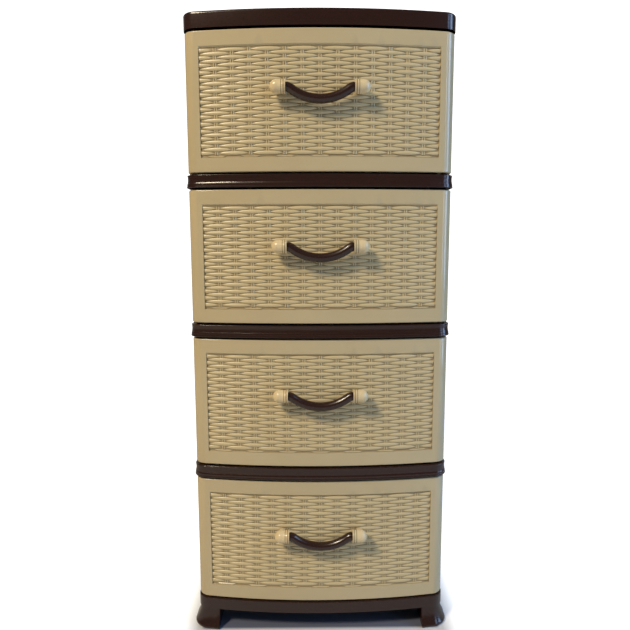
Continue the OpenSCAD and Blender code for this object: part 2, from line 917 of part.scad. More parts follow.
// Flat pads for the screw heads on the inside of the bowed front wall
module screw_pads() {
    z = front_h - handle_drop - box_z;
    difference() {
        at_screws(z) translate([0, 0, front_y]) cylinder(r = screw_head_r + over, h = head_y - front_y);
        linear_extrude(2 * front_h, center = true) difference() {
            square(4 * front_w, center = true);
            translate([0, bow_y]) circle(box_bow - box_wall / 2, $fn = BOW_FN);
        }
    }
}

// ---------- handles ----------

// Outline of a cap along its axis: flange ring, two fine grooves, barrel and domed end
module cap_outline() {
    ring_w = 3.2;
    ring_proud = 0.5;
    line_w = 0.5;
    line_d = 0.4;
    barrel_r = cap_r - ring_proud;
    dome_x = cap_len - barrel_r;
    difference() {
        union() {
            square([barrel_r, dome_x]);
            square([cap_r, ring_w]);
            intersection() {
                translate([0, dome_x]) circle(barrel_r);
                square([barrel_r + over, cap_len + over]);
            }
        }
        for (k = [1, 2]) translate([cap_r - line_d, k * ring_w / 3 - line_w / 2]) square([over, line_w]);
    }
}

module handle_cap(i, side) {
    color(CAP_CREAM) mirror([side, 0, 0]) translate([0, handle_y, handle_z(i)]) difference() {
        union() {
            translate([cap_x, 0, 0]) rotate([0, 90, 0]) rotate_extrude() cap_outline();
            translate([screw_x, 0, 0]) rotate([-90, 0, 0]) cylinder(r = neck_r, h = seat_y - handle_y);
        }
        translate([cap_x - over, 0, 0]) rotate([0, 90, 0]) cylinder(r = mouth_r, h = mouth_d + over);
        translate([cap_x, 0, 0]) rotate([0, 90, 0])
            cylinder(r = pin_r + pin_fit, h = mouth_d + pin_len + over);
        translate([screw_x, seat_y - handle_y - screw_bite - over, 0]) rotate([-90, 0, 0])
            cylinder(r = screw_r + pin_fit / 2, h = screw_bite + 2 * over);
    }
}

// The bar: two short bends down out of the caps and one long curve between them
module handle_bail(i) {
    joined_r = (cap_x * cap_x / bail_sag + bail_sag) / 2;
    arc_r = joined_r - bail_bend_r;
    arc_z = arc_r - bail_sag;
    // A point on the line through the two arcs' centres, beyond the bar
    beyond = 1.5;
    low = [beyond * cap_x, arc_z - beyond * (arc_z + bail_bend_r)];
    color(BROWN) translate([0, handle_y, handle_z(i)]) {
        for (side = [0, 1]) mirror([side, 0, 0]) {
            translate([cap_x, 0, 0]) rotate([0, 90, 0]) cylinder(r = bail_r, h = mouth_d - shoulder_gap);
            translate([cap_x, 0, 0]) rotate([0, 90, 0]) cylinder(r = pin_r, h = mouth_d + pin_len);
            bent_bar(cap_x, -bail_bend_r, bail_bend_r, $fn)
                polygon([[cap_x, -bail_bend_r], [0, arc_z], [cap_x, arc_z]]);
        }
        bent_bar(0, arc_z, arc_r, WIDE_ARC_FN)
            polygon([[0, arc_z], [-low[0], low[1]], low]);
    }
}

// A ring of bar in an upright plane, cut to a slice of that plane
module bent_bar(x, z, r, fn) {
    rotate([90, 0, 0]) intersection() {
        translate([x, z, 0]) rotate_extrude($fn = fn) translate([r, 0]) circle(bail_r);
        linear_extrude(4 * bail_r, center = true) children();
    }
}

module handle_screws(i) {
    color(STEEL) at_screws(handle_z(i)) {
        translate([0, 0, seat_y - screw_bite]) cylinder(r = screw_r, h = head_y - seat_y + screw_bite + weld);
        translate([0, 0, head_y]) rotate_extrude() polygon([
            [0, 0],
            [screw_head_r, 0],
            [screw_head_r, head_chamfer],
            [screw_head_r - head_chamfer, 2 * head_chamfer],
            [0, 2 * head_chamfer],
        ]);
    }
}

top_cover();
spacer_frame(1);  // spacer_frame_1
spacer_frame(2);  // spacer_frame_2
spacer_frame(3);  // spacer_frame_3
base_frame();
side_panel(1, 1);  // side_panel_left_1
side_panel(2, 1);  // side_panel_left_2
side_panel(3, 1);  // side_panel_left_3
side_panel(4, 1);  // side_panel_left_4
side_panel(1, 0);  // side_panel_right_1
side_panel(2, 0);  // side_panel_right_2
side_panel(3, 0);  // side_panel_right_3
side_panel(4, 0);  // side_panel_right_4
rear_panel(1);  // rear_panel_1
rear_panel(2);  // rear_panel_2
rear_panel(3);  // rear_panel_3
rear_panel(4);  // rear_panel_4
foot_front(1);  // foot_front_left
foot_front(0);  // foot_front_right
foot_rear(1);  // foot_rear_left
foot_rear(0);  // foot_rear_right
drawer_box(1);  // drawer_box_1
drawer_box(2);  // drawer_box_2
drawer_box(3);  // drawer_box_3
drawer_box(4);  // drawer_box_4
drawer_front(1);  // drawer_front_1
drawer_front(2);  // drawer_front_2
drawer_front(3);  // drawer_front_3
drawer_front(4);  // drawer_front_4
handle_cap(1, 1);  // handle_cap_left_1
handle_cap(2, 1);  // handle_cap_left_2
handle_cap(3, 1);  // handle_cap_left_3
handle_cap(4, 1);  // handle_cap_left_4
handle_cap(1, 0);  // handle_cap_right_1
handle_cap(2, 0);  // handle_cap_right_2
handle_cap(3, 0);  // handle_cap_right_3
handle_cap(4, 0);  // handle_cap_right_4
handle_bail(1);  // handle_bail_1
handle_bail(2);  // handle_bail_2
handle_bail(3);  // handle_bail_3
handle_bail(4);  // handle_bail_4
handle_screws(1);  // handle_screws_1
handle_screws(2);  // handle_screws_2
handle_screws(3);  // handle_screws_3
handle_screws(4);  // handle_screws_4
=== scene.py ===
# %% [markdown]
# # A plastic drawer tower with a rattan look
#
# Four drawers with bowed fronts run in a cabinet of clipped frames and panels. Every piece is
# injection moulded: the fronts, boxes and panels from cream polypropylene, the frames and feet
# from dark brown polypropylene, the handles from glossy ABS. The solids come ready made from the
# CAD frame, so this lesson is about what they lack: the finely moulded wicker in its sloping
# recesses, flush rails, soft edges, and plastics that catch the light as plastic does.
#
# The first cell loads the solids, and its function part_box reads the box that each one fills.
# Nothing built here may stand outside it.

# %% Load the frame
import json
import math

import bmesh
import bpy
from mathutils import Matrix, Vector


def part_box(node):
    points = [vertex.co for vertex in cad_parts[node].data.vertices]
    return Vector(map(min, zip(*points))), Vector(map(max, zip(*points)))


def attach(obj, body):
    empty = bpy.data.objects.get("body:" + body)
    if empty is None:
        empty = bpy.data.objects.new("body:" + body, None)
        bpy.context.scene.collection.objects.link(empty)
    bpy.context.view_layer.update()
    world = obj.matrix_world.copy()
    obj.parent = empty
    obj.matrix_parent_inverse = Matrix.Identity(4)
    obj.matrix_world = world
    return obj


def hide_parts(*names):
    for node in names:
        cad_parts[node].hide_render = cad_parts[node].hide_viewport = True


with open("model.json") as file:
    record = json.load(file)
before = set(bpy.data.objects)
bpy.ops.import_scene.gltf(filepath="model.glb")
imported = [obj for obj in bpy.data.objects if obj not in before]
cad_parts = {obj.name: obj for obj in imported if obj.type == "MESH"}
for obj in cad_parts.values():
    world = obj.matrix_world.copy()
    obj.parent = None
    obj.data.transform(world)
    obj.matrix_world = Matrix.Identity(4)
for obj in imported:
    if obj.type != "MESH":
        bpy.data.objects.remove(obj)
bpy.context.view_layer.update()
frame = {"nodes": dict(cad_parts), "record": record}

nodes = frame["nodes"]

# %% [markdown]
# ## Sizes that the looks share
#
# A moulded relief has to lie exactly on the face that carries it, so its sizes are read from the
# solids where they can be, and named once where they can't. All lengths are in metres, and MM
# turns a size in millimetres into metres.

# %% Shared sizes
MM = 0.001
TIERS = (1, 2, 3, 4)

# The plan of the tower: the bow of the fronts, their corners, and the cabinet's rear corners
FRONT_BOW_R, CORNER_R, REAR_R = 1107.5 * MM, 20 * MM, 12 * MM
# How far the cover and the base of the CAD stand outside that plan
COVER_PROUD, BASE_PROUD = 4 * MM, 2.6 * MM
# A recess: its depth, the slope of its lips, and how far its mouth stays from a front's edges
RECESS_D, LIP = 2.65 * MM, 2.6 * MM
MARGIN_SIDE, MARGIN_TOP, MARGIN_BOTTOM = 23 * MM, 21.5 * MM, 21.5 * MM

front_low, front_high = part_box("drawer_front_1")
front_w = front_high.x - front_low.x
front_h = front_high.z - front_low.z
front_y = front_low.y  # the foremost line of the bow, in its middle
bow_y = front_y + FRONT_BOW_R
print("drawer front: %.0f x %.0f mm" % (front_w / MM, front_h / MM))

# %% [markdown]
# ## Small helpers
#
# Shaders work in linear light, but plastics are given as sRGB swatches, so one function turns a hex
# code into linear values. A second one adds a node to any tree, sets its properties and fills its
# inputs, by name or in order: a value that is a node or a socket becomes a link. A third one starts a
# material.
#
# The Mix node also mixes numbers and vectors, so its two colours are its inputs 6 and 7, and the
# mixed colour is its output 2.

# %% Colour and node helpers
def linear(hex_code):
    """Linear RGBA of an sRGB hex colour."""
    channels = []
    for i in (1, 3, 5):
        c = int(hex_code[i:i + 2], 16) / 255
        channels.append(c / 12.92 if c <= 0.04045 else ((c + 0.055) / 1.055) ** 2.4)
    return (*channels, 1.0)


def node(tree, kind, inputs=(), **settings):
    """Add a node with its settings, and fill its inputs with values or links."""
    new = tree.nodes.new(kind)
    for name, value in settings.items():
        setattr(new, name, value)
    for name, value in (inputs.items() if isinstance(inputs, dict) else enumerate(inputs)):
        if isinstance(value, bpy.types.Node):
            value = value.outputs[0]
        if isinstance(value, bpy.types.NodeSocket):
            tree.links.new(value, new.inputs[name])
        else:
            new.inputs[name].default_value = value
    return new


def new_material(name):
    """An empty material, its tree, and the object's own coordinates in that tree."""
    material = bpy.data.materials.new(name)
    material.use_nodes = True
    tree = material.node_tree
    tree.nodes.clear()
    return material, tree, node(tree, "ShaderNodeTexCoord").outputs["Object"]


print("black to white:", linear("#000000")[0], "to", linear("#ffffff")[0])

# %% [markdown]
# ## Moulded plastics
#
# A moulded face is never quite even. The melt leaves slow clouds in the colour, the wall sinks a
# little where it cools last, and the steel of the mould prints its fine grain. So the recipe has
# three scales of noise: clouds of about a hand's width in the colour, shallow sink waves of a few
# centimetres in the normal, and a grain that varies the roughness and roughens the normal. The
# real grain is about 0.3 mm, too fine to show from a metre off, so it is drawn about 1.5 mm wide.
#
# Dust is pale and dull. It lies on what faces up, so the surface's own normal says where it goes.
#
# The hollows between the strands of the moulded wicker get a painted shade, which stands in for the
# little light that reaches them. Their depth is a point's distance behind the bowed face, which the
# axis of the bow gives.

# %% The recipe for a moulded plastic
CLOUDS, WAVES, PORES = 9.0, 26.0, 650.0  # features in a metre: one every 110, 38 and 1.5 mm
PORES_LOW, PORES_HIGH = 0.3, 0.7         # the noise's usual range, spread over the roughness range
DUST_FROM = 0.6                          # the upward share of a normal where dust begins
# Depths at which the painted shade of the hollows begins and is darkest, and the shade's share there
HOLLOW_SHADE_FROM, HOLLOW_SHADE_TO, HOLLOW_SHADE_SHARE = 1.5 * MM, 2.6 * MM, 0.5


def moulded(name, cloud_low, cloud_high, rough, ior, sink, grain, dust=0.0, dust_colour=None,
            hollow_shade=None):
    """A moulded plastic: its two cloud colours, roughness range, IOR, and depth of sink and grain."""
    material, tree, place = new_material(name)
    clouds = node(tree, "ShaderNodeTexNoise", {"Vector": place, "Scale": CLOUDS, "Detail": 3.0,
                                               "Roughness": 0.55})
    waves = node(tree, "ShaderNodeTexNoise", {"Vector": place, "Scale": WAVES, "Detail": 1.0})
    pores = node(tree, "ShaderNodeTexNoise", {"Vector": place, "Scale": PORES, "Detail": 2.0})
    colour = node(tree, "ShaderNodeMix", {0: clouds, 6: linear(cloud_low), 7: linear(cloud_high)},
                  data_type="RGBA").outputs[2]
    roughness = node(tree, "ShaderNodeMapRange", (pores, PORES_LOW, PORES_HIGH, *rough))
    if dust:
        normal = node(tree, "ShaderNodeNewGeometry").outputs["Normal"]
        facing = node(tree, "ShaderNodeSeparateXYZ", (normal,)).outputs["Z"]
        upward = node(tree, "ShaderNodeMapRange", (facing, DUST_FROM, 1.0, 0.0, dust))
        patchy = node(tree, "ShaderNodeMath", (upward, clouds), operation="MULTIPLY")
        colour = node(tree, "ShaderNodeMix", {0: patchy, 6: colour, 7: linear(dust_colour)},
                      data_type="RGBA").outputs[2]
        roughness = node(tree, "ShaderNodeMath", (patchy, roughness), operation="ADD")
    # Painted shade: the further a point lies behind the bowed face, the more it takes the dark tone,
    # as shade falls in the hollows.
    if hollow_shade:
        from_axis = node(tree, "ShaderNodeVectorMath", (place, (0.0, bow_y, 0.0)),
                         operation="SUBTRACT")
        level = node(tree, "ShaderNodeVectorMath", (from_axis, (1.0, 1.0, 0.0)),
                     operation="MULTIPLY")
        radius = node(tree, "ShaderNodeVectorMath", (level,), operation="LENGTH").outputs["Value"]
        deep = node(tree, "ShaderNodeMapRange", (radius, FRONT_BOW_R - HOLLOW_SHADE_FROM,
                                                 FRONT_BOW_R - HOLLOW_SHADE_TO, 0.0, HOLLOW_SHADE_SHARE))
        colour = node(tree, "ShaderNodeMix", {0: deep, 6: colour, 7: linear(hollow_shade)},
                      data_type="RGBA").outputs[2]
    sunk = node(tree, "ShaderNodeBump", {"Height": waves, "Strength": 1.0, "Distance": sink})
    grained = node(tree, "ShaderNodeBump", {"Height": pores, "Strength": 1.0, "Distance": grain,
                                            "Normal": sunk})
    shader = node(tree, "ShaderNodeBsdfPrincipled", {"Base Color": colour, "Roughness": roughness,
                                                     "Normal": grained, "IOR": ior})
    node(tree, "ShaderNodeOutputMaterial", {"Surface": shader})
    return material


print("features in a metre: %.0f clouds, %.0f waves, %.0f pores" % (CLOUDS, WAVES, PORES))

# %% [markdown]
# ## The plastics and the steel
#
# - Cream polypropylene, moulded in polished steel: glossy enough for a crisp highlight on every
#   edge. The side and rear panels, from a plainer mould, are a little duller.
# - The same polypropylene from a blasted mould, for the boxes: satin, with hardly any highlight.
# - The wicker, of the same melt as the fronts: its round strands come out of fine cuts in the mould
#   that can't be polished as well, so its highlights are broader, and its hollows are darkened with
#   painted shade.
# - Dark brown polypropylene: its colour is so deep that the highlight is most of what the eye sees.
# - ABS for the handles: a denser plastic with a slightly higher IOR.
# - Zinc-plated steel for the screws: bright, a little blue, dulled by the plating's grain.

# %% Make the plastics
POLYPROPYLENE, ABS = 1.49, 1.53  # IOR

plastics = {
    "drawer_cream": moulded("polished_cream_polypropylene", "#b6a47e", "#bfae88", (0.15, 0.22),
                            POLYPROPYLENE, 0.20 * MM, 0.006 * MM),
    "panel_cream": moulded("panel_cream_polypropylene", "#b6a47e", "#bfae88", (0.24, 0.34),
                           POLYPROPYLENE, 0.35 * MM, 0.01 * MM),
    "box_cream": moulded("satin_cream_polypropylene", "#b9a87f", "#c1b088", (0.48, 0.60),
                         POLYPROPYLENE, 0.25 * MM, 0.06 * MM),
    "cap_cream": moulded("glossy_cream_abs", "#d1bb8e", "#d7c297", (0.20, 0.30),
                         ABS, 0.05 * MM, 0.01 * MM),
    "frame_brown": moulded("polished_brown_polypropylene", "#28150e", "#2f1a11", (0.17, 0.24),
                           POLYPROPYLENE, 0.25 * MM, 0.008 * MM, dust=0.12, dust_colour="#6b5d50"),
    "bail_brown": moulded("glossy_brown_abs", "#28150e", "#2f1a11", (0.20, 0.28),
                          ABS, 0.05 * MM, 0.01 * MM),
}
# The wicker's hollows are darkened towards #6b5535 by painted shade.
wicker_cream = moulded("moulded_wicker_polypropylene", "#beac82", "#c7b58b", (0.27, 0.36),
                       POLYPROPYLENE, 0.15 * MM, 0.01 * MM, hollow_shade="#6b5535")
print("plastics:", sorted(m.name for m in plastics.values()) + [wicker_cream.name])

# %% [markdown]
# The fine grooves round a cap are 0.5 mm wide, too fine to show, so their shadow is drawn 1.4 mm
# wide by colour.

# %% Grooves of the caps
CAP_X = 49.5 * MM                            # where a cap begins, from the middle of its handle
GROOVE_AT = (2.9 * MM, 6.2 * MM)             # places of the grooves along a cap
GROOVE_HALF, GROOVE_SHARE = 0.7 * MM, 0.75   # half the width of a shadow, and how dark it is
GROOVE_CORE = 0.6                            # share of the half width that is evenly dark


def shade_rings(material, places, shade):
    """Darken thin rings at distances from the middle along x, where grooves hold a shadow."""
    tree = material.node_tree
    shader = next(n for n in tree.nodes if n.type == "BSDF_PRINCIPLED")
    colour = shader.inputs["Base Color"].links[0].from_socket
    spot = node(tree, "ShaderNodeTexCoord").outputs["Object"]
    along = node(tree, "ShaderNodeSeparateXYZ", (spot,)).outputs["X"]
    sideways = node(tree, "ShaderNodeMath", (along,), operation="ABSOLUTE")
    for place in places:
        off = node(tree, "ShaderNodeMath", (sideways, place), operation="SUBTRACT")
        off = node(tree, "ShaderNodeMath", (off,), operation="ABSOLUTE")
        ring = node(tree, "ShaderNodeMapRange", (off, GROOVE_CORE * GROOVE_HALF, GROOVE_HALF,
                                                 GROOVE_SHARE, 0.0))
        colour = node(tree, "ShaderNodeMix", {0: ring, 6: colour, 7: linear(shade)},
                      data_type="RGBA").outputs[2]
    tree.links.new(colour, shader.inputs["Base Color"])


shade_rings(plastics["cap_cream"], [CAP_X + place for place in GROOVE_AT], "#6f5c3d")
print("grooves on each cap:", len(GROOVE_AT))

# %% [markdown]
# The screws' zinc grows as crystals far too small to show, so they are drawn about 0.7 mm wide,
# each a little brighter and smoother in its middle.

# %% The steel
CRYSTALS = 1400.0  # in a metre


def zinc_plated_steel():
    """Zinc-plated steel: a metal with a slightly blue tint and fine, uneven dullness."""
    material, tree, place = new_material("zinc_plated_steel")
    crystals = node(tree, "ShaderNodeTexVoronoi", {"Vector": place, "Scale": CRYSTALS})
    tint = node(tree, "ShaderNodeMix", {0: crystals, 6: linear("#b9bdc2"), 7: linear("#a3a7ad")},
                data_type="RGBA").outputs[2]
    dull = node(tree, "ShaderNodeMapRange", (crystals, 0.0, 1.0, 0.28, 0.45))
    shader = node(tree, "ShaderNodeBsdfPrincipled",
                  {"Base Color": tint, "Roughness": dull, "Metallic": 1.0})
    node(tree, "ShaderNodeOutputMaterial", {"Surface": shader})
    return material


plastics["screw_steel"] = zinc_plated_steel()
print("material slots:", sorted(plastics))

# %% [markdown]
# ## Dressing the solids
#
# The solids arrive as loose triangles with razor-sharp edges. No moulded edge is that sharp: the
# mould's own corner radius is at least a few tenths of a millimetre, and it is this radius that
# draws the thin bright line along an edge. Three live modifiers make it without touching the
# mesh: Weld joins the triangles, Decimate in its planar mode gathers them into clean flat faces,
# and Bevel rounds what is sharper than 35 degrees. Bevel also hardens the normals, so flat faces
# stay flat and only the edges shade round.

# %% Materials on every solid, soft edges on the plastic ones
JOIN_WITHIN = 0.002 * MM  # corners of triangles this close together are one point
FLAT_WITHIN, SHARPER_THAN = math.radians(0.2), math.radians(35)
EDGE_RADIUS = {"frame_brown": 0.5 * MM, "drawer_cream": 0.45 * MM, "panel_cream": 0.35 * MM,
               "box_cream": 0.35 * MM, "cap_cream": 0.15 * MM, "bail_brown": 0.3 * MM}
slot_of = {entry["node"]: entry["material_slot"] for entry in frame["record"]["subparts"]}


def soften(piece, radius):
    """Live modifiers that join a solid's triangles and round its edges."""
    weld = piece.modifiers.new("join_triangles", "WELD")
    weld.merge_threshold = JOIN_WITHIN
    plane = piece.modifiers.new("gather_flats", "DECIMATE")
    plane.decimate_type = "DISSOLVE"
    plane.angle_limit = FLAT_WITHIN
    edge = piece.modifiers.new("mould_radius", "BEVEL")
    edge.limit_method = "ANGLE"
    edge.angle_limit = SHARPER_THAN
    edge.width = radius
    edge.segments = 2
    edge.harden_normals = True


for name, piece in nodes.items():
    slot = slot_of[name]
    piece.data.materials.clear()
    piece.data.materials.append(plastics[slot])
    piece.data.shade_smooth()
    if slot in EDGE_RADIUS:
        soften(piece, EDGE_RADIUS[slot])
print("dressed solids:", len(nodes))

# %% [markdown]
# ## Flush cover, flush base and leaning feet
#
# The cover's skirt and the base rail stand out from the fronts more than they should, and the
# cover's upper edge wants a thicker, softer round. The feet should lean in under the rail and
# reach a little further inward. All are redrawn on copies of the solids: a point's distance
# outside the plan of a front is measured, and a rule gives it a new distance and height. The plan
# is a wide bow, a corner arc, a straight side, a rear arc and a straight rear.

# %% Distance outside the plan of a front
HALF_W = front_w / 2
REAR_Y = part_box("top_cover")[1].y - COVER_PROUD
corner = Vector((HALF_W - CORNER_R, bow_y - math.sqrt((FRONT_BOW_R - CORNER_R) ** 2
                                                      - (HALF_W - CORNER_R) ** 2)))
rear_corner = Vector((HALF_W - REAR_R, REAR_Y - REAR_R))


def outside(x, y):
    """Distance of a point outside the plan, and the direction that leads straight out."""
    spot = Vector((abs(x), y))
    axis = Vector((0.0, bow_y))
    if spot.y < corner.y and (corner - axis).cross(spot - axis) < 0:
        centre, radius = axis, FRONT_BOW_R
    elif spot.y < corner.y:
        centre, radius = corner, CORNER_R
    elif spot.y > rear_corner.y and spot.x > rear_corner.x:
        centre, radius = rear_corner, REAR_R
    elif spot.y > rear_corner.y:
        return spot.y - REAR_Y, Vector((0.0, 1.0))
    else:
        return spot.x - HALF_W, Vector((math.copysign(1.0, x), 0.0))
    way = spot - centre
    straight_out = way.normalized()
    return way.length - radius, Vector((math.copysign(straight_out.x, x), straight_out.y))


print("bow's middle is %.3f mm outside the plan" % (outside(0.0, front_y)[0] / MM))


# %% Redraw a copy of a solid
def joined_copy(name, piece_name):
    """A new piece with a solid's triangles joined at their shared corners."""
    shape = bmesh.new()
    shape.from_mesh(nodes[name].data)
    bmesh.ops.remove_doubles(shape, verts=shape.verts, dist=JOIN_WITHIN)
    mesh = bpy.data.meshes.new(piece_name)
    shape.to_mesh(mesh)
    shape.free()
    mesh.materials.clear()
    mesh.materials.append(plastics[slot_of[name]])
    mesh.shade_smooth()
    piece = bpy.data.objects.new(piece_name, mesh)
    bpy.context.scene.collection.objects.link(piece)
    return piece


def stand_in(piece, name, body):
    """Let a redrawn piece stand for its solid: it rides on the solid's body, and the solid is hidden.
    """
    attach(piece, body)
    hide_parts(name)


def redraw(name, piece_name, rule):
    """Copy a cabinet solid and move its points by a rule on their distance outside and height."""
    piece = joined_copy(name, piece_name)
    moved = 0
    for point in piece.data.vertices:
        distance, way = outside(point.co.x, point.co.y)
        new_distance, new_z = rule(distance, point.co.z)
        if (new_distance, new_z) != (distance, point.co.z):
            shift = way * (new_distance - distance)
            point.co = (point.co.x + shift.x, point.co.y + shift.y, new_z)
            moved += 1
    soften(piece, EDGE_RADIUS[slot_of[name]])
    stand_in(piece, name, "cabinet")
    print(piece_name, "moved", moved, "of", len(piece.data.vertices), "points")
    return piece


# %% The flush cover and base
FLUSH = 1.2 * MM      # what still stands out, enough to hide the panels' edges
CHANNEL = 1.05 * MM   # the channel for the panels lies inside this distance
OLD_ROUND, NEW_ROUND = 2.5 * MM, 4 * MM
ROUND_SLACK, CHANNEL_SLACK = 0.01 * MM, 0.1 * MM  # room for rounding in a point's distance
SKIRT_SLOPE = 0.05    # share of the skirt's old slope that is kept
cover_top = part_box("top_cover")[1].z


def cover_rule(distance, z):
    """Draw the skirt in to the flush distance and thicken the round above it."""
    if distance > COVER_PROUD - OLD_ROUND - ROUND_SLACK and z > cover_top - OLD_ROUND:
        scale = NEW_ROUND / OLD_ROUND
        return FLUSH - (COVER_PROUD - distance) * scale, cover_top - (cover_top - z) * scale
    if distance > CHANNEL + CHANNEL_SLACK:
        return FLUSH - (COVER_PROUD - distance) * SKIRT_SLOPE, z
    return distance, z


def base_rule(distance, z):
    """Squeeze the rail's face into the room between the channel and the flush distance."""
    if distance > CHANNEL:
        return CHANNEL + (distance - CHANNEL) * (FLUSH - CHANNEL) / (BASE_PROUD - CHANNEL), z
    return distance, z


redraw("top_cover", "flush_cover", cover_rule)
redraw("base_frame", "flush_base", base_rule)

# %% The leaning feet
FOOT_LEAN = 2.2 * MM   # how far a foot's outer face stands back at its top
FOOT_WALL = 3.1 * MM   # its inner wall lies within this width
FOOT_WIDER = 4 * MM
foot_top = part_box("base_frame")[0].z


def foot_rule(distance, z):
    """Lean a foot's outer face in, so that its top stands back under the base rail."""
    if distance > 0:
        return max(distance - FOOT_LEAN * z / foot_top, 0.0), z
    return distance, z


def widen(foot):
    """Turn a foot's inner wall about the bow's axis, towards the middle."""
    inner_wall = min(abs(point.co.x) for point in foot.data.vertices) + FOOT_WALL
    for point in foot.data.vertices:
        if abs(point.co.x) < inner_wall:
            inward = Matrix.Rotation(-math.copysign(FOOT_WIDER / FRONT_BOW_R, point.co.x), 2)
            x, y = inward @ Vector((point.co.x, point.co.y - bow_y))
            point.co = (x, y + bow_y, point.co.z)


for place in ("front_left", "front_right", "rear_left", "rear_right"):
    widen(redraw(f"foot_{place}", f"leaned_foot_{place}", foot_rule))

# %% [markdown]
# ## Stouter bails
#
# The bar of a handle is stouter than its solid between the caps. A copy of it is fattened along its
# normals there; the ends that turn in the caps keep their size.

# %% The stouter bails
STOUTER, BAR_HALF = 1.1 * MM, 49.2 * MM
for tier in TIERS:
    bail = joined_copy(f"handle_bail_{tier}", f"stout_bail_{tier}")
    shape = bmesh.new()
    shape.from_mesh(bail.data)
    shape.normal_update()
    for point in [v for v in shape.verts if abs(v.co.x) < BAR_HALF]:
        point.co += point.normal * STOUTER
    shape.to_mesh(bail.data)
    shape.free()
    soften(bail, EDGE_RADIUS["bail_brown"])
    stand_in(bail, f"handle_bail_{tier}", f"bail_{tier}")
print("stouter bails:", len(TIERS))

# %% [markdown]
# ## Recesses with sloping lips
#
# The panel of a front lies in a recess whose four walls slope, so that the mould lets go of it.
# The cutter is a bent tray: its floor follows the bow at the depth of the recess, and its mouth is
# wider all round. A Boolean takes it out of a copy of the front, and with it the coarse relief of
# the solid, because the finely moulded wicker takes that place. The four fronts are the same
# shape, so the cut is made once and copied down the tower.

# %% The cutter
FLOOR_R = FRONT_BOW_R - RECESS_D
floor_half = front_w / 2 - MARGIN_SIDE - LIP
mouth_low, mouth_high = front_low.z + MARGIN_BOTTOM, front_high.z - MARGIN_TOP


def recess_cutter(columns=120):
    """A bent tray with sloping walls, a little taller than the recess is deep."""
    over = 1 * MM
    spread = LIP * (1 + over / RECESS_D)
    corners = [(FLOOR_R, floor_half, mouth_low + LIP), (FLOOR_R, floor_half, mouth_high - LIP),
               (FRONT_BOW_R + over, floor_half + spread, mouth_high - LIP + spread),
               (FRONT_BOW_R + over, floor_half + spread, mouth_low + LIP - spread)]
    points, faces = [], [(0, 1, 2, 3)]
    for column in range(columns + 1):
        for radius, half, z in corners:
            x = half * (2 * column / columns - 1)
            points.append((x, bow_y - math.sqrt(radius * radius - x * x), z))
    for column in range(columns):
        for side in range(4):
            a, b = 4 * column + side, 4 * column + (side + 1) % 4
            faces.append((a, a + 4, b + 4, b))
    last = 4 * columns
    faces.append((last + 3, last + 2, last + 1, last))
    mesh = bpy.data.meshes.new("recess_cutter")
    mesh.from_pydata(points, [], faces)
    shape = bmesh.new()
    shape.from_mesh(mesh)
    bmesh.ops.recalc_face_normals(shape, faces=shape.faces)
    shape.to_mesh(mesh)
    shape.free()
    cutter = bpy.data.objects.new("recess_cutter", mesh)
    bpy.context.scene.collection.objects.link(cutter)
    return cutter


cutter = recess_cutter()
print("cutter:", len(cutter.data.polygons), "faces")


# %% Cut one front
def keep_mesh(piece):
    """Swap a piece's live modifiers for the mesh that they make."""
    piece.data = bpy.data.meshes.new_from_object(
        piece.evaluated_get(bpy.context.evaluated_depsgraph_get()))
    piece.modifiers.clear()


cut_front = joined_copy("drawer_front_1", "cut_front_1")
cut = cut_front.modifiers.new("recess", "BOOLEAN")
cut.operation, cut.solver, cut.object = "DIFFERENCE", "EXACT", cutter
keep_mesh(cut_front)
bpy.data.objects.remove(cutter)
cut_front.data.materials.append(wicker_cream)
soften(cut_front, EDGE_RADIUS["drawer_cream"])
keep_mesh(cut_front)
print("cut front:", len(cut_front.data.polygons), "faces")

# %% [markdown]
# The floor and the lips of the recess take the duller plastic of the wicker, and with it the painted
# shade that darkens them by their depth.
#
# A Boolean leaves long thin faces whose averaged normals shade in streaks. The bow is a true
# cylinder, so each corner of a face on it is simply given the cylinder's own normal.

# %% The recess's plastic and the bow's normals
ON_BOW = 0.02 * MM                       # a point is on the bow when it is this close
RIM = 0.6 * MM                           # the rounded rim reaches this far into the border
FACES_OUT, SQUARELY_OUT = -0.3, -0.9     # a normal's y below these counts as facing out
mouth_z, mouth_half_h = (mouth_low + mouth_high) / 2, (mouth_high - mouth_low) / 2
bow_half = corner.x * FRONT_BOW_R / (FRONT_BOW_R - CORNER_R)

# Faces deep in the recess take the wicker's plastic, and with it its painted shade.
for face in cut_front.data.polygons:
    x, y, z = face.center
    behind = FRONT_BOW_R - math.hypot(x, y - bow_y)
    in_mouth = abs(x) < floor_half + LIP + RIM and abs(z - mouth_z) < mouth_half_h + RIM
    if in_mouth and behind > ON_BOW and face.normal.y < FACES_OUT:
        face.material_index = 1

normals = [Vector(normal.vector) for normal in cut_front.data.corner_normals]
for face in cut_front.data.polygons:
    for loop in face.loop_indices:
        spot = cut_front.data.vertices[cut_front.data.loops[loop].vertex_index].co
        out = Vector((spot.x, spot.y - bow_y, 0.0))
        on_bow = abs(out.length - FRONT_BOW_R) < ON_BOW and abs(spot.x) < bow_half
        if on_bow and face.normal.y < SQUARELY_OUT:
            normals[loop] = out.normalized()
cut_front.data.normals_split_custom_set(normals)
print("faces of the recess:", sum(face.material_index for face in cut_front.data.polygons))

# %% Copy the front down the tower
for tier in TIERS:
    front = cut_front
    if tier > 1:
        mesh = cut_front.data.copy()
        mesh.transform(Matrix.Translation((0, 0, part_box(f"drawer_front_{tier}")[0].z - front_low.z)))
        front = bpy.data.objects.new(f"cut_front_{tier}", mesh)
        bpy.context.scene.collection.objects.link(front)
    stand_in(front, f"drawer_front_{tier}", f"drawer_{tier}")
print("cut fronts:", len(TIERS))

